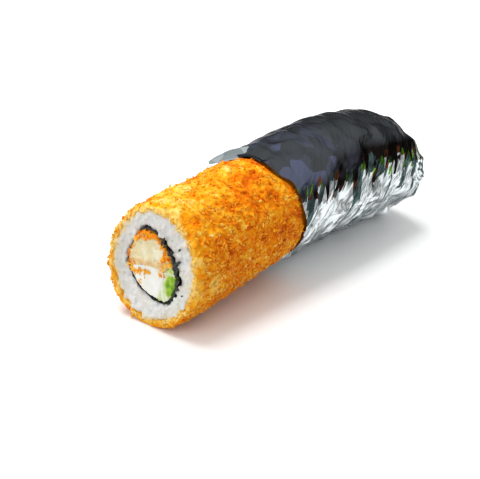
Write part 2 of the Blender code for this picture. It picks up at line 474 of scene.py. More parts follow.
    def finish(self, colour: object, roughness: object, **values: float) -> bpy.types.Material:
        """Feeds the shader and returns the material."""
        self.feed(self.shader.inputs["Base Color"], colour)
        self.feed(self.shader.inputs["Roughness"], roughness)
        for key, value in values.items():
            self.shader.inputs[key.replace("_", " ")].default_value = value
        return self.material


FRIED: tuple[tuple[float, Colour], ...] = (
    (0.00, (0.58, 0.095, 0.0005)),
    (0.28, (0.83, 0.205, 0.001)),
    (0.52, (0.90, 0.33, 0.004)),
    (0.76, (0.93, 0.48, 0.028)),
    (1.00, (0.92, 0.63, 0.17)),
)


@dataclass(frozen=True)
class FryFinish:
    """Fried breading, whose tone runs from deep orange through gold to pale cream."""

    name: str
    bump_scale: float
    roughness: float
    gloss: float
    fleck: float

    def make(self) -> bpy.types.Material:
        """The breading's material."""
        sketch = Sketch(self.name)
        fleck = sketch.sum("MULTIPLY", sketch.sum("SUBTRACT", sketch.noise(520.0, 3.0), 0.5), self.fleck)
        # The tone attribute carries painted shade: darker towards the crust's bottom and in its hollows, lighter on
        # its peaks.
        tone = sketch.sum("ADD", sketch.attribute("tone"), fleck, clamp=True)
        sketch.bump(sketch.noise(self.bump_scale, 2.0), 0.0002, 0.5)
        return sketch.finish(sketch.ramp(tone, FRIED), self.roughness, Specular_IOR_Level=self.gloss)


@dataclass(frozen=True)
class RiceFinish:
    """Moist cooked rice, a cool white with a slight warm change."""

    name: str = "cooked_rice"
    white: Colour = (0.76, 0.765, 0.75)
    warm: Colour = (0.74, 0.70, 0.61)
    # painted shade: the colour of the recesses between the grains
    shaded_hollow: Colour = (0.62, 0.60, 0.54)
    # painted shade over the left and upper part of the face
    rice_shade: Colour = (0.58, 0.56, 0.51)
    batter: Colour = (0.80, 0.60, 0.26)

    def make(self) -> bpy.types.Material:
        """The rice's material."""
        sketch = Sketch(self.name)
        drift = sketch.span(sketch.noise(90.0, 2.0), 0.42, 0.72)
        # Painted shade where the rice lies back from the face, between the grains.
        shaded_hollow = sketch.span(sketch.attribute("relief"), 0.0, 0.45)
        colour = sketch.mix(drift, self.white, self.warm)
        colour = sketch.mix(shaded_hollow, self.shaded_hollow, colour)
        # Painted shade over the left and upper part of the face.
        colour = sketch.mix(sketch.attribute("rice_shade"), colour, self.rice_shade)
        colour = sketch.mix(sketch.attribute("batter"), colour, self.batter)
        rough = sketch.sum("ADD", 0.34, sketch.sum("MULTIPLY", sketch.noise(260.0), 0.28))
        return sketch.finish(colour, rough, Subsurface_Weight=0.18, Subsurface_Scale=0.002)


@dataclass(frozen=True)
class NoriFinish:
    """Dark damp seaweed."""

    name: str = "nori"
    dark: Colour = (0.010, 0.012, 0.012)
    light: Colour = (0.030, 0.036, 0.028)

    def make(self) -> bpy.types.Material:
        """The seaweed's material."""
        sketch = Sketch(self.name)
        colour = sketch.mix(sketch.noise(500.0, 3.0), self.dark, self.light)
        sketch.bump(sketch.noise(1600.0, 2.0), 0.0001, 0.5)
        return sketch.finish(colour, 0.42)


@dataclass(frozen=True)
class MeatFinish:
    """Pale cooked meat inside, orange breading on its outside."""

    name: str = "breaded_meat"
    flesh: Colour = (0.78, 0.66, 0.36)
    cream: Colour = (0.85, 0.80, 0.58)
    # painted shade for a band along the strip's lower edge
    tan_shade: Colour = (0.72, 0.44, 0.15)
    breading: Colour = (0.86, 0.34, 0.010)
    gold: Colour = (0.90, 0.56, 0.11)

    def make(self) -> bpy.types.Material:
        """The strip's material."""
        sketch = Sketch(self.name)
        flesh = sketch.mix(sketch.span(sketch.noise(150.0, 3.0), 0.38, 0.66), self.flesh, self.cream)
        # Painted shade in a band along the strip's lower edge.
        flesh = sketch.mix(sketch.attribute("tan_shade"), flesh, self.tan_shade)
        breading = sketch.mix(sketch.span(sketch.noise(330.0, 2.0), 0.38, 0.66), self.breading, self.gold)
        colour = sketch.mix(sketch.attribute("rim"), flesh, breading)
        sketch.bump(sketch.noise(900.0, 2.0), 0.00012, 0.4)
        return sketch.finish(colour, 0.38, Subsurface_Weight=0.12, Subsurface_Scale=0.002)


@dataclass(frozen=True)
class CheeseFinish:
    """Soft white cream cheese with an uneven gloss."""

    name: str = "cream_cheese"
    white: Colour = (0.88, 0.87, 0.82)
    cream: Colour = (0.84, 0.80, 0.66)

    def make(self) -> bpy.types.Material:
        """The cheese's material."""
        sketch = Sketch(self.name)
        colour = sketch.mix(sketch.span(sketch.noise(120.0, 2.0), 0.45, 0.8), self.white, self.cream)
        rough = sketch.sum("ADD", 0.24, sketch.sum("MULTIPLY", sketch.noise(180.0), 0.3))
        return sketch.finish(colour, rough, Subsurface_Weight=0.15, Subsurface_Scale=0.002)


@dataclass(frozen=True)
class OnionFinish:
    """Spring onion from white through pale green to full green."""

    name: str = "spring_onion"
    stops: tuple[tuple[float, Colour], ...] = (
        (0.0, (0.80, 0.83, 0.70)),
        (0.45, (0.62, 0.72, 0.30)),
        (0.7, (0.40, 0.61, 0.03)),
        (1.0, (0.17, 0.38, 0.006)),
    )

    def make(self) -> bpy.types.Material:
        """The onion's material."""
        sketch = Sketch(self.name)
        drift = sketch.sum("MULTIPLY", sketch.sum("SUBTRACT", sketch.noise(300.0), 0.5), 0.5)
        colour = sketch.ramp(sketch.sum("ADD", sketch.attribute("green"), drift, clamp=True), self.stops)
        return sketch.finish(colour, 0.28, Subsurface_Weight=0.1, Subsurface_Scale=0.0015)


@dataclass(frozen=True)
class FlapFinish:
    """The foil's loose corner: metal with a painted blue-grey reflection of its surroundings, streaked with darker
    painted reflection.
    """

    name: str = "aluminium_corner"
    light: Colour = (0.60, 0.67, 0.68)
    shade: Colour = (0.36, 0.42, 0.43)

    def make(self) -> bpy.types.Material:
        """The corner's material."""
        sketch = Sketch(self.name)
        # Painted reflection: darker streaks over lighter blue-grey.
        streak = sketch.cells(1.0, sketch.strokes(10.0, 420.0, 90.0))
        tone = sketch.split(streak.outputs["Color"])[0]
        colour = sketch.mix(sketch.span(tone, 0.3, 1.0), self.light, self.shade)
        return sketch.finish(colour, 0.32, Metallic=1.0)


@dataclass(frozen=True)
class FoilFinish:
    """Bright foil with painted reflections of its surroundings: painted dark reflection in charcoal on what faces
    up, silver with painted crease reflections on the rest.

    Where a fold turns from one to the other it passes through thin leaf-green and brown streaks, which are painted
    reflections of the surroundings.
    """

    name: str = "aluminium_foil"
    silver: Colour = (0.92, 0.965, 0.96)
    # painted reflections of the surroundings, laid on the silver, from here down to lavender
    grey: Colour = (0.40, 0.45, 0.46)
    teal: Colour = (0.085, 0.13, 0.13)
    leaf: Colour = (0.10, 0.30, 0.025)
    bright_leaf: Colour = (0.24, 0.50, 0.045)
    moss: Colour = (0.030, 0.045, 0.020)
    brown: Colour = (0.24, 0.075, 0.030)
    black: Colour = (0.016, 0.013, 0.012)
    charcoal: Colour = (0.088, 0.097, 0.103)
    lavender: Colour = (0.165, 0.185, 0.300)
    silver_under: float = 0.37  # heights, as a share of the section's
    dark_over: float = 0.46

    def upper(self, sketch: Sketch, up: bpy.types.NodeSocket) -> bpy.types.NodeSocket:
        """The dark foil, all painted reflection: crumpled lavender patches in front, charcoal on top, near black low
        and behind.
        """
        warp = sketch.add("ShaderNodeTexNoise", scale=70.0, detail=2.0)
        sketch.link(sketch.place, warp.inputs["Vector"])
        bent = sketch.mix(0.012, sketch.place, warp.outputs["Color"], "ADD")
        facet = sketch.cells(120.0, bent)
        shade, glow, _ = sketch.split(facet.outputs["Color"])
        _, along, _ = sketch.split(sketch.place)
        front = sketch.sum("SUBTRACT", 1.0, sketch.span(along, 0.006, 0.034))
        front = sketch.sum("MULTIPLY", front, sketch.span(up, 0.45, 0.62))
        glow = sketch.sum("POWER", glow, 1.6)
        # Painted reflections on the facets: lavender over charcoal.
        facet_reflection = sketch.mix(glow, self.charcoal, self.lavender)
        drift = sketch.sum("ADD", sketch.noise(48.0, 3.0), sketch.sum("MULTIPLY", shade, 0.10))
        high = sketch.sum("ADD", sketch.span(up, 0.62, 0.95), sketch.sum("MULTIPLY", drift, 0.5))
        # Painted dark reflection: near black low and behind, charcoal higher up.
        plain = sketch.mix(sketch.span(high, 0.42, 0.80), self.black, self.charcoal)
        return sketch.mix(sketch.sum("MULTIPLY", front, sketch.span(drift, 0.40, 0.56)), plain, facet_reflection)

    def make(self) -> bpy.types.Material:
        """The foil's material."""
        sketch = Sketch(self.name)
        # The colour is a painted reflection of a room dark above and bright below, chosen by each point's height in
        # its section and by the normal's tilt.
        _, _, tilt = sketch.split(sketch.add("ShaderNodeNewGeometry").outputs["Normal"])
        up = sketch.attribute("up")
        spikes = sketch.cells(1.0, sketch.strokes(56.0, 520.0, 85.0))
        first, second, third = sketch.split(spikes.outputs["Color"])
        height = sketch.sum("ADD", sketch.sum("MULTIPLY", up, 0.88), sketch.sum("MULTIPLY", tilt, 0.12))
        reach = sketch.sum("MULTIPLY", sketch.sum("SUBTRACT", first, 0.5), 0.30)
        soft = sketch.sum("MULTIPLY", sketch.sum("SUBTRACT", sketch.noise(500.0, 2.0), 0.5), 0.10)
        ragged = sketch.sum("ADD", sketch.sum("ADD", height, reach), soft)
        # Painted reflections where a fold turns from dark to silver: streaks of green, black, brown and teal.
        reflection_streaks = ((0.0, self.moss), (0.22, self.leaf), (0.34, self.bright_leaf), (0.44, self.black))
        reflection_streaks += ((0.62, self.brown), (0.74, self.black), (0.92, self.teal))
        band = sketch.ramp(second, reflection_streaks)
        near = sketch.span(height, -0.55, self.silver_under)
        dark = sketch.span(sketch.sum("ADD", third, sketch.sum("MULTIPLY", near, 0.30)), 1.00, 1.04)
        # Painted reflections in the silver's creases: grey dents and dark teal strokes.
        fine = sketch.cells(1.0, sketch.strokes(34.0, 620.0, 120.0))
        dent = sketch.split(fine.outputs["Color"])[0]
        silver = sketch.mix(sketch.span(dent, 0.55, 1.0), self.silver, self.grey)
        silver = sketch.mix(dark, silver, self.teal)
        upper = self.upper(sketch, up)
        # Painted dark reflection above, silver with painted crease reflections below.
        dark_part = sketch.mix(sketch.span(ragged, self.dark_over, self.dark_over + 0.02), band, upper)
        colour = sketch.mix(
            sketch.span(ragged, self.silver_under, self.silver_under + 0.01), silver, dark_part
        )
        rough = sketch.sum("ADD", 0.18, sketch.sum("MULTIPLY", sketch.noise(140.0), 0.16))
        sketch.bump(fine.outputs["Distance"], 0.0005, 0.45)
        self.darken_grazing(sketch)
        return sketch.finish(colour, rough, Metallic=1.0)

    def darken_grazing(self, sketch: Sketch) -> None:
        """Keeps the dark foil dark where it is seen edge on."""
        sketch.shader.inputs["Specular Tint"].default_value = (0.45, 0.45, 0.45, 1.0)


# --- The roll ------------------------------------------------------------------------------------


@dataclass
class RollForm:
    """Sizes that several pieces share, read from the frame."""

    lean: float = 0.15
    crust_round: float = 0.7 * MM
    flat_sink: float = 1.0 * MM
    # The seaweed's outline on the face: degrees, distance from the rice's middle.
    nori_outline: tuple[tuple[float, float], ...] = (
        (0.0, 13.7), (12.0, 12.5), (52.0, 11.3), (85.0, 12.9), (100.0, 15.0), (117.0, 15.7), (150.0, 13.2),
        (
            178.0, 13.8
        ), (210.0, 11.9), (240.0, 11.3), (268.0, 12.0), (290.0, 14.0), (310.0, 16.0), (340.0, 14.4),
    )
    # How far the underside's corners draw in along the roll: place along Y, depth.
    waist: tuple[tuple[float, float], ...] = (
        (-75.0, 0.0), (-62.0, 0.9), (-45.0, 2.6), (-28.0, 4.6), (-16.0, 5.6),
        (-5.0, 6.4), (10.0, 6.4), (30.0, 5.2), (62.0, 3.6), (80.0, 1.5),
    )
    rice_low: Vector = field(init=False)
    rice_high: Vector = field(init=False)
    crust_low: Vector = field(init=False)
    crust_high: Vector = field(init=False)
    foil_low: Vector = field(init=False)
    foil_high: Vector = field(init=False)

    def __post_init__(self) -> None:
        """Reads the boxes of the solids that set the others' places."""
        self.rice_low, self.rice_high = (Vector(corner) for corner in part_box("rice_layer"))
        self.crust_low, self.crust_high = (Vector(corner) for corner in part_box("panko_crust"))
        self.foil_low, self.foil_high = (Vector(corner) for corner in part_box("foil_wrap"))

    @property
    def centre_z(self) -> float:
        """Height of the middle of the rice."""
        return (self.rice_low.z + self.rice_high.z) / 2.0

    @property
    def rice_half_width(self) -> float:
        """Half the rice's width."""
        return (self.rice_high.x - self.rice_low.x) / 2.0

    @property
    def rice_half_height(self) -> float:
        """Half the rice's height."""
        return (self.rice_high.z - self.rice_low.z) / 2.0

    @property
    def face_middle(self) -> float:
        """How far forward the middle of the open face stands."""
        return self.rice_low.y + self.lean * self.rice_half_height

    @property
    def food_end(self) -> float:
        """The food's flat end inside the foil."""
        return self.rice_high.y

    def face_y(self, z: Array) -> Array:
        """The leaning open face at height z."""
        return self.face_middle + self.lean * (z - self.centre_z)

    def nori_radius(self, angle: Array) -> Array:
        """Distance from the filling's middle to the seaweed, by angle."""
        turns, reaches = np.array(self.nori_outline).T
        return np.interp(np.degrees(angle) % 360.0, turns, reaches, period=360.0) * MM

    def drawn_in(self, angle: Array, y: Array) -> Array:
        """How far a point of a section, at an angle, is drawn towards the section's middle."""
        places, depths = np.array(self.waist).T
        below = np.degrees(angle) % 360.0
        corners = np.exp(-(((below - 308.0) / 31.0) ** 2)) + np.exp(-(((below - 232.0) / 31.0) ** 2))
        return np.interp(y, places * MM, depths * MM) * np.minimum(corners, 1.0)

    def foil_edge(self, angle: Array) -> Array:
        """The foil's open edge, farther forward over the top than on the sides."""
        over_top = smooth_step((np.sin(angle) - 0.66) / 0.30)
        waves = 0.22 * np.sin(5.0 * angle + 0.8) + 0.12 * np.sin(17.0 * angle)
        return self.foil_front + (2.9 - 6.2 * over_top + waves) * MM

    @property
    def foil_front(self) -> float:
        """The middle of the foil's open edge."""
        return self.food_end - 88.0 * MM


@dataclass
class Crust:
    """The breaded crust: a rough shell with raised crumbs and loose flakes on it."""

    form: RollForm
    around: int = 330
    rows: int = 190
    hidden_length: float = 14.0 * MM
    flake_count: int = 4800
    grain_count: int = 3200
    face_spread: float = 0.99  # how far the rice reaches into the crust at the open face
    seed: int = 11
    stations: tuple[tuple[float, float, float], ...] = (
        (0.00, 24.0, 49.6),
        (0.06, 24.2, 51.2),
        (0.16, 24.0, 51.8),
        (0.26, 24.3, 52.4),
        (0.36, 25.0, 53.8),
        (0.44, 24.7, 53.4),
        (0.60, 24.2, 52.0),
    )

    def section(self, angle: Array, share: Array, inset: Array) -> tuple[Array, Array]:
        """Outline points of the crust at a share of its length."""
        along, widths, tops = np.array(self.stations).T
        y = self.form.face_middle + share * (self.form.food_end - self.form.face_middle)
        under_foil = 1.2 * MM * smooth_step((y - self.form.foil_edge(angle)) / (2.0 * MM))
        half_width = np.interp(share, along, widths) * MM - inset - under_foil
        top = np.interp(share, along, tops) * MM - inset - under_foil
        step_up = 0.9 * MM * smooth_step((share - 0.36) / 0.05)
        bottom = step_up - self.form.flat_sink + inset
        cut = self.form.drawn_in(angle, y)
        x = (half_width - cut) * np.cos(angle)
        z = (top + bottom) / 2.0 + ((top - bottom) / 2.0 - cut) * np.sin(angle)
        return x, np.maximum(z, step_up)

    def place(self, round_share: Array, along_share: Array) -> Array:
        """Rolls the grid up: inner wall, open face, rounded edge, long outer side, closed rear."""
        angle = -math.pi / 2.0 + 2.0 * math.pi * round_share
        form = self.form
        length = form.food_end - form.face_middle
        rear = (form.foil_front + self.hidden_length - form.face_middle) / length
        path = np.array([0.0, 0.02, 0.06, 0.08, 0.985, 1.0])
        share = np.interp(along_share, path, [rear, 0.0, 0.0, 0.012, rear, rear])
        wall = np.interp(along_share, path, [1.0, 1.0, 0.06, 0.0, 0.0, 1.0])
        outer_x, outer_z = self.section(angle, share, np.where(along_share < 0.07, form.crust_round, 0.0))
        radius = self.face_spread / np.hypot(
            np.cos(angle) / form.rice_half_width, np.sin(angle) / form.rice_half_height
        )
        radius *= 1.0 - 0.24 * np.clip(share / rear, 0.0, 1.0)
        inner_x = radius * np.cos(angle)
        inner_z = form.centre_z + radius * np.sin(angle)
        x = outer_x + (inner_x - outer_x) * wall
        z = outer_z + (inner_z - outer_z) * wall
        leaning = 1.0 - smooth_step(share * 4.0)
        y = form.face_middle + share * length + (form.face_y(z) - form.face_middle) * leaning
        return np.stack([x, y, z], axis=1)

    def tone(self, points: Array) -> Array:
        """How pale the breading is: cream at the open face, blotched above, deeper behind, with painted shade
        darkening the side towards the bottom.
        """
        form = self.form
        behind = points[:, 1] - form.face_y(points[:, 2])
        outward = np.hypot(
            points[:, 0] / form.rice_half_width, (points[:, 2] - form.centre_z) / form.rice_half_height
        )
        face = np.exp(-np.maximum(behind, 0.0) / (2.4 * MM)) * (
            1.0 - 0.75 * smooth_step((outward - 1.04) / 0.09)
        )
        above = smooth_step((0.8 * points[:, 2] - 0.6 * points[:, 0] - 22.0 * MM) / (22.0 * MM))
        below = smooth_step((26.0 * MM - points[:, 2]) / (22.0 * MM))
        to_foil = smooth_step((points[:, 1] + 62.0 * MM) / (40.0 * MM))
        blotch = cloud(points, 13.0 * MM) * (0.26 + 0.14 * above)
        blotch += cloud(points + 1.0, 5.0 * MM) * (0.28 + 0.12 * above)
        # Painted shade: the breading darkens towards the bottom.
        level = 0.53 + 0.05 * above - 0.10 * to_foil - 0.09 * below + 0.36 * face
        return level + blotch + 0.30 * cloud(points + 2.0, 2.2 * MM)

    def build(self) -> bpy.types.Object:
        """The crust with its relief and colour attributes."""
        piece = wrapped_grid("crust", self.around, self.rows, self.place)
        form = self.form
        before = points_of(piece)
        normals = normals_of(piece)
        outward = np.hypot(
            before[:, 0] / form.rice_half_width, (before[:, 2] - form.centre_z) / form.rice_half_height
        )
        angle = np.arctan2(before[:, 2] - 27.0 * MM, before[:, 0])
        gap = form.foil_edge(angle) - before[:, 1]
        behind = before[:, 1] - form.face_y(before[:, 2])
        outside = np.maximum(
            smooth_step((outward - self.face_spread) / 0.025), smooth_step((behind - 4.0 * MM) / MM)
        )
        free = outside * smooth_step(
            (before[:, 2] - 0.6 * MM) / (3.0 * MM)
        ) * smooth_step((gap + 0.6 * MM) / (1.4 * MM))
        limit_group(piece, "breaded", free * (0.45 + 0.55 * smooth_step(gap / (6.0 * MM))))
        displace(piece, "CLOUDS", 13.0 * MM, 1.8 * MM, "breaded")
        displace(piece, "CLOUDS", 5.0 * MM, 1.5 * MM, "breaded")
        displace(piece, "VORONOI", 2.8 * MM, 1.2 * MM, "breaded")
        displace(piece, "CLOUDS", 1.4 * MM, 0.9 * MM, "breaded", noise_depth=3)
        after = points_of(piece)
        lift = np.einsum("ij,ij->i", after - before, normals)
        # Painted shade in the relief's hollows and painted light on its peaks.
        shaded_hollow = np.clip((lift.mean() - lift) / (1.2 * MM), -0.5, 1.0)
        after[:, 2] = np.maximum(after[:, 2], 0.0)
        move_points(piece, after)
        store(piece, "tone", self.tone(after) - 0.04 * free - 0.30 * shaded_hollow * free)
        store(piece, "crumb_share", free)
        return piece

    def build_crumbs(self, crust: bpy.types.Object) -> bpy.types.Object:
        """Flakes and finer grains stuck on the crust's outside, thick on its side and thin on top."""
        rng = np.random.default_rng(self.seed)
        points, normals = points_of(crust), normals_of(crust)
        odds = np.empty(len(points))
        crust.data.attributes["crumb_share"].data.foreach_get("value", odds)
        above = smooth_step((normals[:, 2] - 0.35) / 0.5)
        clumps = smooth_step(0.5 + 1.7 * cloud(points, 7.0 * MM))
        odds *= (0.35 + 0.65 * clumps) * (1.0 - 0.45 * above)
        count = self.flake_count + self.grain_count
        seats = rng.choice(len(points), count, p=odds / odds.sum())
        flake = np.arange(count)[:, None] < self.flake_count
        length = np.where(flake, rng.uniform(1.1, 2.5, (count, 1)), rng.uniform(0.6, 1.1, (count, 1)))
        length *= 1.0 - 0.25 * above[seats][:, None]
        size = length * np.where(flake, [[1.0, 0.80, 0.66]], [[1.0, 1.0, 1.0]]) * MM
        seat_points = points[seats] + normals[seats] * size[:, 2:3] * 0.20
        shapes = [crumb_shape(rng, index) for index in range(9)]
        tips = np.where(
            rng.random(count) < 0.30, rng.uniform(0.12, 0.36, count), 0.0
        ) * (1.0 - 0.5 * above[seats])
        # The crumbs take the crust's tone, including its painted shade towards the bottom.
        tones = self.tone(seat_points) + rng.normal(0.0, 0.10, count) + tips
        turns = lying_turns(rng, normals[seats], 0.45)
        piece = Scatter("crust_crumbs", shapes, seat_points, turns, size, tones).build(rng)
        placed = points_of(piece)
        placed[:, 2] = np.maximum(placed[:, 2], 0.0)
        move_points(piece, placed)
        return piece


@dataclass
class Filling:
    """All that shows at the open face: rice, seaweed, meat, cheese and onion."""

    form: RollForm
    shown_depth: float = 9.0 * MM
    spread: float = 1.03
    overlap: float = 0.22 * MM
    rear_share: float = 0.5
    seed: int = 23

    def front_block(self, node: str, name: str, voxel: float) -> bpy.types.Object:
        """The front of one solid with an even skin, ready for relief; run_to_end later carries its rear on to the
        food's end.
        """
        piece = copy_of_node(node, name)
        cut = self.form.face_middle + self.shown_depth
        with editing(piece):
            bpy.ops.mesh.bisect(
                plane_co=(0.0, cut, 0.0), plane_no=(0.0, 1.0, 0.0), use_fill=True, clear_outer=True
            )
        remesh(piece, voxel)
        move_points(piece, points_of(piece) + normals_of(piece) * self.overlap)
        return piece

    def run_to_end(self, piece: bpy.types.Object) -> None:
        """Carries the block's rear on to the food's end, where it is slimmer."""
        points = points_of(piece)
        rear = points[:, 1] > points[:, 1].max() - 0.4 * MM
        points[rear, 0] *= self.rear_share
        points[rear, 2] = self.form.centre_z + (points[rear, 2] - self.form.centre_z) * self.rear_share
        points[rear, 1] = self.form.food_end
        move_points(piece, points)

    def facing(self, points: Array) -> Array:
        """How near each point is to the open face, from 0 to 1."""
        return 1.0 - smooth_step((points[:, 1] - self.form.face_y(points[:, 2]) - 0.3 * MM) / (2.5 * MM))

    def build_rice(self) -> bpy.types.Object:
        """The rice: grains pressed together round the seaweed, fused where they touch."""
        rng = np.random.default_rng(self.seed)
        form = self.form
        core = copy_of_node("rice_layer", "rice")
        cut = form.face_middle + self.shown_depth
        with editing(core):
            bpy.ops.mesh.bisect(
                plane_co=(0.0, cut, 0.0), plane_no=(0.0, 1.0, 0.0), use_fill=True, clear_outer=True
            )
        points = points_of(core)
        front = points[:, 1] < form.face_y(points[:, 2]) + 0.2 * MM
        points[front, 1] += 0.9 * MM
        move_points(core, points)
        seats = []
        while len(seats) < 330:
            angle = rng.uniform(0.0, 2.0 * math.pi)
            inner = float(form.nori_radius(np.array([angle]))[0]) + 1.3 * MM
            outer = 1.0 / math.hypot(
                math.cos(angle) / form.rice_half_width, math.sin(angle) / form.rice_half_height
            ) - 1.2 * MM
            radius = math.sqrt(rng.uniform(inner**2, outer**2))
            z = form.centre_z + radius * math.sin(angle)
            spot = np.array([radius * math.cos(angle), 0.0, z])
            spot[1] = form.face_y(z) + rng.uniform(0.35, 1.3) * MM
            if all(np.linalg.norm((spot - other)[[0, 2]]) > 1.35 * MM for other in seats[-160:]):
                seats.append(spot)
        seats = np.array(seats)
        normals = np.tile([0.0, -1.0, form.lean], (len(seats), 1))
        turns = lying_turns(rng, normals, 0.45)
        sizes = rng.uniform(0.85, 1.1, (len(seats), 1)) * np.array([[5.2, 5.4, 5.0]]) * MM
        grains = Scatter(
            "rice_grains", [grain_shape()], seats, turns, sizes, rng.random(len(seats))
        ).build(rng)
        pick(core)
        grains.select_set(True)
        bpy.ops.object.join()
        remesh(core, 0.34 * MM, 4)
        points = points_of(core)
        proud = form.face_y(points[:, 2]) - points[:, 1]
        # How far the rice stands out from the face; the finish paints shade where it lies back.
        store(core, "relief", np.clip(0.75 + proud / (1.4 * MM), 0.0, 1.0))
        radius = np.hypot(
            points[:, 0] / form.rice_half_width, (points[:, 2] - form.centre_z) / form.rice_half_height
        )
        near_face = self.facing(points)
        squeeze = np.minimum(1.0 + (self.spread - 1.0) * near_face, self.spread / np.maximum(radius, 1e-6))
        points[:, 0] *= squeeze
        points[:, 2] = form.centre_z + (points[:, 2] - form.centre_z) * squeeze
        move_points(core, points)
        left = smooth_step((-8.0 * MM - points[:, 0]) / (9.0 * MM))
        above = smooth_step((points[:, 2] - form.centre_z - 4.0 * MM) / (12.0 * MM))
        # Painted shade over the left and upper part of the face.
        store(core, "rice_shade", 0.75 * np.maximum(left, 0.55 * above))
        ragged = 0.10 * cloud(points, 2.6 * MM) + 0.05 * cloud(points, 1.0 * MM)
        store(core, "batter", 0.85 * smooth_step((radius + ragged - 0.90 + 0.06 * left) / 0.12) * near_face)
        self.run_to_end(core)
        return core

    def build_nori(self) -> bpy.types.Object:
        """The seaweed ring, rumpled where it meets the open face."""
        form = self.form
        wall = 0.15 * MM

        def place(round_share: Array, along_share: Array) -> Array:
            angle = 2.0 * math.pi * round_share
            depth = np.interp(along_share, [0.0, 0.30, 0.5, 0.8, 1.0], [1.0, 0.0, 0.0, 1.0, 1.0])
            side = np.interp(along_share, [0.0, 0.30, 0.5, 0.8, 1.0], [-1.0, -1.0, 1.0, 1.0, -1.0])
            rumple = 0.12 * np.sin(9.0 * angle + 1.0) + 0.10 * np.sin(
                23.0 * angle + 2.0
            ) + 0.06 * np.sin(47.0 * angle)
            top = np.exp(-(((angle - math.radians(104.0)) / 0.28) ** 2))
            right = smooth_step((np.cos(angle - math.radians(8.0)) - 0.60) / 0.30)
            thick = wall * (1.0 + 1.3 * top + right * (0.35 + 0.45 * np.sin(31.0 * angle)))
            radius = form.nori_radius(angle) + rumple * MM * (1.0 + right) + side * thick
            x = radius * np.cos(angle)
            z = radius * np.sin(angle)
            proud = 0.35 + 0.2 * np.sin(17.0 * angle) * np.sin(5.0 * angle + 1.0) + 0.4 * right
            y = form.face_y(form.centre_z + z) - proud * MM
            slim = 1.0 - (1.0 - self.rear_share) * depth
            return np.stack([x * slim, y + (form.food_end - y) * depth, form.centre_z + z * slim], axis=1)

        return wrapped_grid("nori_ring", 320, 24, place)

    def build_flakes(self) -> bpy.types.Object:
        """Torn scraps of seaweed that stick to the rice beside the ring."""
        rng = np.random.default_rng(self.seed + 5)
        spots = (
            (4.7, 12.4, 3.4, 82.0), (5.8, 10.9, 2.2, 30.0), (8.4, 8.9, 2.6, -45.0), (10.4, 7.0, 3.2, -48.0),
            (12.2, 6.0, 3.8, 20.0), (14.0, 6.9, 2.6, 38.0), (12.2, 4.0, 4.2, 80.0), (13.4, 3.6, 3.2, 60.0),
            (13.2, 1.6, 3.4, 100.0), (14.4, -1.6, 2.8, 55.0), (
                14.8, -3.6, 2.4, 100.0
            ), (13.9, -6.0, 2.2, 70.0),
            (13.5, 12.0, 1.7, 50.0), (18.0, -5.6, 1.3, 35.0), (9.6, 9.6, 1.6, 100.0),
        )
        piece: bpy.types.Object | None = None
        for x, z, size, turn in spots:
            deselect_all()
            bpy.ops.mesh.primitive_circle_add(vertices=9, radius=size * MM / 2.0, fill_type="NGON")
            scrap = bpy.context.active_object
            points = points_of(scrap)
            points *= rng.uniform(0.5, 1.25, (len(points), 1))
            points[:, 1] *= 0.5
            angle = math.radians(turn)
            height = form_z = self.form.centre_z + z * MM
            across = points[:, 0] * math.cos(angle) - points[:, 1] * math.sin(angle)
            up = points[:, 0] * math.sin(angle) + points[:, 1] * math.cos(angle)
            face = self.form.face_y(height + up) - rng.uniform(1.2, 1.9, len(points)) * MM
            move_points(scrap, np.stack([x * MM + across, face, form_z + up], axis=1))
            modifier = scrap.modifiers.new("sheet", "SOLIDIFY")
            modifier.thickness = 0.3 * MM
            modifier.offset = 0.0
            finish_modifiers(scrap)
            if piece is None:
                piece = scrap
                continue
            pick(piece)
            scrap.select_set(True)
            bpy.ops.object.join()
        assert piece is not None
        piece.name = "nori_scraps"
        merge_close(piece)
        return piece

    def build_meat(self) -> bpy.types.Object:
        """The breaded strip: pale flesh with a brownish band of painted shade along its lower edge, and orange
        breading outside.
        """
        piece = self.front_block("breaded_chicken", "breaded_strip", 0.34 * MM)
        points = points_of(piece)
        form = self.form
        x, z = points[:, 0], points[:, 2] - form.centre_z
        angle = np.arctan2(z, x)
        gap = form.nori_radius(angle) - np.hypot(x, z)
        turn = np.degrees(angle) % 360.0
        crown = np.exp(-(((turn - 110.0) / 26.0) ** 2))
        shoulder = np.exp(-(((turn - 38.0) / 24.0) ** 2))
        ragged = 1.5 * cloud(points, 2.6 * MM) + 0.8 * cloud(points, 1.0 * MM)
        width = 0.9 + 1.7 * crown + 3.3 * shoulder + ragged * (1.0 + crown + shoulder)
        rim = 1.0 - smooth_step((gap - width * MM) / (0.4 * MM))
        store(piece, "rim", rim)
        # A band along the strip's lower edge, which the finish paints as shade.
        bottom = -0.9 * MM + 1.3 * MM * (1.0 - (x / (12.0 * MM)) ** 2) + 0.17 * x
        drift = 1.8 * cloud(points + 3.0, 3.4 * MM) * MM
        band = 1.0 - np.abs((z - bottom - 1.3 * MM - drift) / (2.3 * MM))
        store(piece, "tan_shade", 0.85 * smooth_step(band * 1.2))
        facing = self.facing(points)
        dome = 0.9 * MM * smooth_step(gap / (6.0 * MM))
        points[:, 1] -= facing * (0.3 * MM + dome + 0.5 * MM * rim)
        move_points(piece, points)
        limit_group(piece, "face", facing)
        displace(piece, "CLOUDS", 4.0 * MM, 1.8 * MM, "face")
        displace(piece, "VORONOI", 2.6 * MM, 0.9 * MM, "face")
        displace(piece, "CLOUDS", 1.1 * MM, 0.4 * MM, "face")
        self.run_to_end(piece)
        return piece

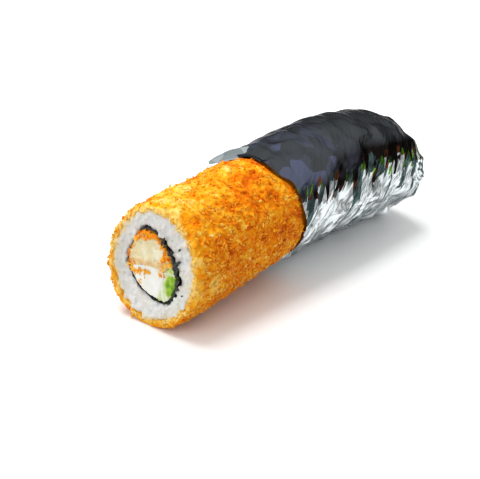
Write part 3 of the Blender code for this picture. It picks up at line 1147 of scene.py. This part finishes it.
    def build_meat_crumbs(self, meat: bpy.types.Object) -> bpy.types.Object:
        """Orange crumbs on the strip's breading, with a few fallen onto the cheese."""
        rng = np.random.default_rng(self.seed + 9)
        points, normals = points_of(meat), normals_of(meat)
        rim = np.empty(len(points))
        meat.data.attributes["rim"].data.foreach_get("value", rim)
        odds = rim**2 * self.facing(points)
        count = 150
        seats = rng.choice(len(points), count, p=odds / odds.sum())
        places, outward = points[seats], normals[seats]
        fallen = (
            (-11.2, -3.4), (-9.6, -3.6), (-8.2, -4.6), (-6.4, -4.0), (-4.4, -3.6), (-2.4, -3.0), (-4.8, -7.6)
        )
        fallen += ((4.4, 1.8), (5.0, 0.4), (5.4, -1.2), (6.2, 2.6), (7.2, 3.6))
        spots = np.repeat(np.array(fallen) * MM, 5, axis=0)
        spots += rng.normal(size=spots.shape) * 0.75 * MM
        face = self.form.face_y(self.form.centre_z + spots[:, 1]) - 0.75 * MM
        low = np.stack([spots[:, 0], face, self.form.centre_z + spots[:, 1]], axis=1)
        places = np.concatenate([places, low])
        outward = np.concatenate([outward, np.tile([0.0, -1.0, 0.0], (len(low), 1))])
        sizes = rng.uniform(1.2, 2.9, (len(places), 1)) * np.array([[1.0, 0.9, 0.7]]) * MM
        shapes = [crumb_shape(rng, index) for index in range(4)]
        tones = np.concatenate([rng.uniform(0.15, 0.75, count), rng.uniform(0.45, 0.95, len(low))])
        return Scatter(
            "strip_crumbs", shapes, places, lying_turns(rng, outward, 0.5), sizes, tones
        ).build(rng)

    def build_cheese(self) -> bpy.types.Object:
        """Soft cream cheese, swelling a little out of the open face."""
        piece = self.front_block("cream_cheese", "cream_cheese_fill", 0.34 * MM)
        points = points_of(piece)
        facing = self.facing(points)
        points[:, 1] -= facing * 0.5 * MM
        move_points(piece, points)
        limit_group(piece, "face", facing)
        displace(piece, "CLOUDS", 5.0 * MM, 1.5 * MM, "face")
        displace(piece, "CLOUDS", 1.6 * MM, 0.25 * MM, "face")
        self.run_to_end(piece)
        return piece

    def build_onion(self) -> bpy.types.Object:
        """Layers of spring onion: pale inside, full green at the outer leaf."""
        piece = self.front_block("spring_onion", "spring_onion_fill", 0.30 * MM)
        points = points_of(piece)
        x = points[:, 0] / MM
        z = (points[:, 2] - self.form.centre_z) / MM
        wedge = smooth_step((x - 7.0 - 0.35 * np.abs(z + 4.5)) / 1.0)
        wedge *= smooth_step((z + 9.6) / 1.4) * smooth_step((0.4 - z) / 1.2)
        top = smooth_step((z + 0.2) / 1.4)
        foot = np.exp(-(((x - 6.4) / 1.6) ** 2) - ((z + 11.6) / 1.0) ** 2)
        store(piece, "green", 0.10 + 0.70 * wedge + 0.42 * top + 0.55 * foot + 0.22 * cloud(points, 1.6 * MM))
        facing = self.facing(points)
        layers = np.sin((x * 0.9 + z * 0.25) * 3.0)
        points[:, 1] -= facing * (0.5 + 0.35 * layers) * MM
        move_points(piece, points)
        limit_group(piece, "face", facing)
        displace(piece, "CLOUDS", 2.0 * MM, 0.7 * MM, "face")
        self.run_to_end(piece)
        return piece


@dataclass
class FoilWrap:
    """One sheet of foil rolled round the rear, creased all over and folded shut behind."""

    form: RollForm
    around: int = 384
    rows: int = 246
    sheet: float = 0.25 * MM
    lining_share: float = 0.05  # of the rows, spent on the plain inner side
    seed: int = 5
    stations: tuple[tuple[float, float, float], ...] = (
        (-0.10, 25.2, 54.6),
        (0.00, 25.3, 55.0),
        (0.05, 26.3, 56.8),
        (0.25, 26.9, 58.2),
        (0.45, 27.1, 58.6),
        (0.60, 27.1, 57.4),
        (0.75, 27.1, 54.8),
        (0.85, 27.0, 52.4),
        (0.92, 26.0, 49.4),
        (0.965, 24.0, 45.4),
        (0.99, 19.0, 40.5),
        (1.00, 12.0, 34.0),
    )

    def creases(
        self, around: Array, along: Array, rng: np.random.Generator, count: int, **fold: float
    ) -> Array:
        """Straight pinched folds, each a narrow tent across and fading to its ends.

        Args:
            around: distance round the roll of each point.
            along: distance along the roll of each point.
            rng: the source of chance.
            count: how many folds.
            fold: heading and its spread in degrees, length, width and height in metres.

        Returns:
            The height at each point.
        """
        girth = 0.175
        height = np.zeros_like(around)
        for _ in range(count):
            centre = rng.uniform(0.0, girth), rng.uniform(along.min(), along.max())
            heading = math.radians(rng.normal(fold["heading"], fold["spread"]))
            length = fold["length"] * rng.uniform(0.4, 1.2)
            width = fold["width"] * rng.uniform(0.6, 1.4)
            rise = fold["height"] * rng.choice([-1.0, 1.0]) * rng.uniform(0.3, 1.0)
            across_turn = (around - centre[0] + girth / 2.0) % girth - girth / 2.0
            down = along - centre[1]
            lengthwise = across_turn * math.sin(heading) + down * math.cos(heading)
            sidewise = across_turn * math.cos(heading) - down * math.sin(heading)
            tent = np.clip(1.0 - np.abs(sidewise) / width, 0.0, 1.0)
            height += rise * tent * np.clip(1.3 - 1.3 * np.abs(lengthwise) / length, 0.0, 1.0)
        return height

    def facets(
        self, around: Array, along: Array, rng: np.random.Generator, count: int, tilt: float, stretch: float
    ) -> Array:
        """Flat patches, each tilted its own way, that meet in soft creases."""
        girth, reach = 0.175, along.max() - along.min()
        seats = np.stack(
            [rng.uniform(0.0, girth, count), rng.uniform(0.0, reach, count) + along.min()], axis=1
        )
        slopes = rng.normal(size=(count, 2)) * tilt
        total, weight = np.zeros_like(around), np.zeros_like(around)
        spacing = math.sqrt(girth * reach / count)
        for seat, slope in zip(seats, slopes):
            round_gap = (around - seat[0] + girth / 2.0) % girth - girth / 2.0
            long_gap = along - seat[1]
            distance = np.hypot(round_gap / stretch, long_gap * stretch)
            share = np.exp(-8.0 * distance / spacing) + 1e-12
            total += share * (round_gap * slope[0] + long_gap * slope[1])
            weight += share
        return total / weight

    def axis(self, y: Array) -> tuple[Array, Array, Array]:
        """Half the width, the middle's height and half the height of the section at y."""
        start, end = self.form.foil_front, self.form.foil_high.y - 0.6 * MM
        straight = (y - start) / (end - start)
        along, widths, tops = np.array(self.stations).T
        top = np.interp(straight, along, tops) * MM
        bottom = np.interp(straight, [0.0, 0.9, 1.0], [-1.0, -1.0, 9.0]) * MM
        return np.interp(straight, along, widths) * MM, (top + bottom) / 2.0, (top - bottom) / 2.0

    def relief(self, angle: Array, around: Array, along: Array) -> Array:
        """Height of the creases: soft and broad above, close and sharp on the sides and below."""
        rng = np.random.default_rng(self.seed)
        low = smooth_step((0.50 - np.sin(angle)) / 0.5)
        pleat = self.creases(
            around, along, rng, 1000, heading=52.0, spread=22.0, length=0.013, width=0.0015, height=1.0
        )
        broad = self.creases(
            around, along, rng, 110, heading=45.0, spread=55.0, length=0.026, width=0.0055, height=0.6
        )
        patch = self.facets(around, along, rng, 190, 0.14, 1.0)
        height = pleat * (0.30 * low + 0.05) * MM + broad * 0.45 * MM + patch * (0.55 + 0.45 * low)
        near_edge = smooth_step((along - self.form.foil_edge(angle)) / (8.0 * MM))
        return np.maximum(height, -(0.25 + 1.5 * near_edge) * MM) + self.bunches(angle, along)

    def bunches(self, angle: Array, y: Array) -> Array:
        """Where loose foil is bunched up: under the middle, at the shut end's side, and pleats all round the end."""
        turn = np.degrees(angle + math.pi) % 360.0 - 180.0
        under = np.exp(-(((y - 36.0 * MM) / (8.0 * MM)) ** 2) - ((turn + 62.0) / 10.0) ** 2)
        ear = np.exp(-(((y - 77.0 * MM) / (5.0 * MM)) ** 2) - ((turn - 6.0) / 15.0) ** 2)
        ridges = 0.55 + 0.45 * np.sin(y * 2300.0 + turn * 0.5)
        pleats = np.abs(
            np.sin(6.5 * angle + 1.2 * np.sin(2.0 * angle))
        ) * smooth_step((y - 66.0 * MM) / (12.0 * MM))
        return (1.8 * under * ridges + 1.6 * ear * ridges - 1.2 * pleats) * MM

    def place(self, round_share: Array, along_share: Array) -> Array:
        """Rolls the sheet up: a plain inner side from the shut end forward, then the creased outside back."""
        angle = -math.pi / 2.0 + 2.0 * math.pi * round_share
        inside = along_share < self.lining_share
        outer_share = np.where(
            inside, 1.0 - along_share / self.lining_share, (
                along_share - self.lining_share
            ) / (1.0 - self.lining_share)
        )
        start, end = self.form.foil_edge(angle), self.form.foil_high.y - 0.6 * MM
        y = start + (end - start) * np.clip(outer_share / 0.90, 0.0, 1.0)
        closing = smooth_step((outer_share - 0.90) / 0.10)
        half_width, middle, half_height = self.axis(y)
        cut = self.form.drawn_in(angle, y)
        half_width, half_height = (half_width - cut) * (1.0 - closing), (half_height - cut) * (1.0 - closing)
        height = self.relief(angle, round_share * 0.175, y) * (1.0 - closing)
        height -= np.where(inside, self.sheet + 0.9 * MM * smooth_step((y - start) / (4.0 * MM)), 0.0)
        fold = np.abs(np.sin(6.5 * angle + 1.2 * np.sin(2.0 * angle) + 2.5 * closing))
        swirl = -0.16 * np.minimum(closing * 3.0, 1.0) * fold
        x = (half_width * (1.0 + swirl) + height) * np.cos(angle)
        z = middle + (half_height * (1.0 + swirl) + height) * np.sin(angle)
        x, z = np.where(outer_share > 0.9999, 0.0, x), np.where(outer_share > 0.9999, middle, z)
        puckers = 1.8 * MM * fold * 4.0 * closing * (1.0 - closing)
        y = y + closing * 0.5 * MM - puckers - np.where(
            inside, self.sheet * smooth_step((outer_share - 0.5) / 0.3), 0.0
        )
        return np.stack([x, y, np.maximum(z, np.where(inside, self.sheet, 0.0))], axis=1)

    def build(self) -> bpy.types.Object:
        """The creased sheet, with each point's height in its section kept as an attribute."""
        piece = wrapped_grid("foil_sheet", self.around, self.rows, self.place)
        points = points_of(piece)
        _, middle, half_height = self.axis(points[:, 1])
        up = (points[:, 2] - middle) / half_height
        # The finish paints its dark reflection from this height; the cut edge and the shut end are set low, so that
        # they get a painted silver reflection.
        behind = smooth_step((points[:, 1] - (self.form.foil_high.y - 3.5 * MM)) / (3.0 * MM))
        angle = np.arctan2(points[:, 2] - middle, points[:, 0])
        cut_edge = points[:, 1] < self.form.foil_edge(angle) + 0.15 * MM
        store(piece, "up", np.where(cut_edge, -0.8, up * (1.0 - behind) - 0.3 * behind))
        return piece

    def build_flap(self) -> bpy.types.Object:
        """The sheet's loose corner: a small pale leaf that sticks out from under the edge over the crust."""
        root, tip = np.array([-6.0, -15.0, 54.4]) * MM, np.array([-16.3, -30.3, 49.9]) * MM

        def place(round_share: Array, along_share: Array) -> Array:
            """Rolls the grid into a thin flat blade, rounded off at the tip."""
            turn = 2.0 * math.pi * round_share
            share = np.clip((along_share - 0.02) / 0.96, 0.0, 1.0)
            ends = np.where((along_share < 0.02) | (along_share > 0.98), 0.0, 1.0)
            wide = 3.5 * MM * np.sqrt(np.clip(1.0 - share**2.2, 0.0, 1.0)) * ends
            across, thick = wide * np.cos(turn), 0.16 * MM * np.sin(turn) * ends
            bow = 1.0 * MM * np.sin(math.pi * share) - 0.4 * MM * (across / (3.5 * MM)) ** 2
            ripple = 0.10 * MM * np.sin(across * 1900.0 + 3.0 * share) + 0.10 * MM * np.sin(share * 17.0)
            middle = root + (tip - root) * share[:, None]
            side = np.array([0.72, -0.60, -0.34])
            lift = np.array([0.10, -0.30, 0.95])
            return middle + side * across[:, None] + lift * (thick + bow + ripple)[:, None]

        return wrapped_grid("foil_flap", 48, 60, place)


# --- The set -------------------------------------------------------------------------------------


@dataclass
class Studio:
    """Plain floor, soft light and the camera."""

    form: RollForm
    azimuth: float = 38.0
    elevation: float = 26.0
    roll: float = 3.5
    distance: float = 0.605
    lens: float = 102.75
    aim_right: float = -15.0 * MM
    aim_up: float = -13.9 * MM
    room: tuple[tuple[float, float], ...] = ((0.0, 0.10), (0.16, 0.18), (0.34, 0.60), (1.0, 0.80))

    def build_floor(self) -> None:
        """A wide pale floor that keeps the roll's shadow."""
        deselect_all()
        bpy.ops.mesh.primitive_plane_add(size=6.0, location=(0.0, 0.0, -0.05 * MM))
        floor = bpy.context.active_object
        floor.name = "floor"
        sketch = Sketch("pale_floor")
        seen = sketch.add("ShaderNodeLightPath").outputs["Is Camera Ray"]
        floor.data.materials.append(sketch.finish(sketch.mix(seen, (0.80, 0.81, 0.82), (1.0, 1.0, 1.0)), 0.6))

    def build_world(self) -> None:
        """A room that is dim round the horizon and bright above, which the camera sees as white."""
        world = bpy.data.worlds.new("studio")
        bpy.context.scene.world = world
        world.use_nodes = True
        tree = world.node_tree
        background = tree.nodes["Background"]
        place = tree.nodes.new("ShaderNodeTexCoord")
        split = tree.nodes.new("ShaderNodeSeparateXYZ")
        room = tree.nodes.new("ShaderNodeValToRGB")
        path = tree.nodes.new("ShaderNodeLightPath")
        mix = tree.nodes.new("ShaderNodeMix")
        mix.data_type = "RGBA"
        while len(room.color_ramp.elements) < len(self.room):
            room.color_ramp.elements.new(0.5)
        for element, (height, level) in zip(room.color_ramp.elements, self.room):
            element.position = height
            element.color = (level, level, level, 1.0)
        tree.links.new(place.outputs["Generated"], split.inputs[0])
        tree.links.new(split.outputs["Z"], room.inputs["Fac"])
        tree.links.new(path.outputs["Is Camera Ray"], mix.inputs[0])
        tree.links.new(room.outputs["Color"], mix.inputs[6])
        mix.inputs[7].default_value = (1.0, 1.0, 1.0, 1.0)
        tree.links.new(mix.outputs[2], background.inputs["Color"])

    def build_lamp(
        self, name: str, place: tuple[float, float, float], size: float, power: float, mirrored: bool = True
    ) -> None:
        """One soft square lamp aimed at the roll.

        Args:
            name: the lamp's name.
            place: where it hangs.
            size: the length of its sides.
            power: its power in watts.
            mirrored: whether shiny things show it.
        """
        deselect_all()
        bpy.ops.object.light_add(type="AREA", location=place)
        lamp = bpy.context.active_object
        lamp.name = name
        lamp.data.size = size
        lamp.data.energy = power
        lamp.visible_glossy = mirrored
        aim = Vector((0.0, 0.0, 0.02)) - Vector(place)
        lamp.rotation_euler = aim.to_track_quat("-Z", "Y").to_euler()

    def build_camera(self) -> None:
        """The camera at the picture's angle."""
        azimuth, elevation, roll = (
            math.radians(angle) for angle in (self.azimuth, self.elevation, self.roll)
        )
        back = Vector(
            (
                math.sin(azimuth) * math.cos(elevation),
                -math.cos(azimuth) * math.cos(elevation),
                math.sin(elevation),
            )
        )
        level = Vector((math.cos(azimuth), math.sin(azimuth), 0.0))
        upright = back.cross(level)
        right = level * math.cos(roll) + upright * math.sin(roll)
        up = upright * math.cos(roll) - level * math.sin(roll)
        middle = Vector((0.0, self.form.face_middle + 78.5 * MM, 25.5 * MM))
        eye = middle + right * self.aim_right + up * self.aim_up + back * self.distance
        data = bpy.data.cameras.new("camera")
        data.lens = self.lens
        data.sensor_width = 36.0
        data.clip_start = 0.01
        camera = bpy.data.objects.new("camera", data)
        bpy.context.scene.collection.objects.link(camera)
        camera.matrix_world = Matrix.Translation(eye) @ Matrix((right, up, back)).transposed().to_4x4()
        bpy.context.scene.camera = camera

    def build(self) -> None:
        """Builds the whole set."""
        self.build_floor()
        self.build_world()
        self.build_lamp("key_lamp", (-0.45, 0.10, 1.05), 0.8, 13.0, mirrored=False)
        self.build_lamp("fill_lamp", (-0.10, -1.05, 0.60), 0.8, 3.0)
        self.build_camera()
        bpy.context.scene.view_settings.view_transform = "Standard"


def main() -> None:
    """Builds every piece in order and dresses it."""
    logging.basicConfig(level=logging.INFO)
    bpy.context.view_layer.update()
    form = RollForm()
    breading = FryFinish("golden_breading", 1500.0, 0.55, 0.08, 0.36).make()
    crumbs = FryFinish("panko_crumbs", 1800.0, 0.30, 0.16, 0.20).make()

    crust = Crust(form)
    shell = crust.build()
    flakes = crust.build_crumbs(shell)
    dress(shell, breading, ["panko_crust"], 50.0)
    dress(flakes, crumbs, crease=25.0)

    filling = Filling(form)
    dress(filling.build_rice(), RiceFinish().make(), ["rice_layer"], 60.0)
    nori = NoriFinish().make()
    dress(filling.build_nori(), nori, ["nori_sheet"], 50.0)
    dress(filling.build_flakes(), nori)
    meat = filling.build_meat()
    meat_crumbs = filling.build_meat_crumbs(meat)
    dress(meat, MeatFinish().make(), ["breaded_chicken"], 60.0)
    dress(meat_crumbs, crumbs, crease=25.0)
    dress(filling.build_cheese(), CheeseFinish().make(), ["cream_cheese"], 60.0)
    dress(filling.build_onion(), OnionFinish().make(), ["spring_onion"], 60.0)

    wrap, bright = FoilWrap(form), FoilFinish().make()
    dress(wrap.build(), bright, ["foil_wrap"], 16.0)
    dress(wrap.build_flap(), FlapFinish().make(), crease=30.0)

    Studio(form).build()
    deselect_all()


if __name__ == "__main__":
    main()
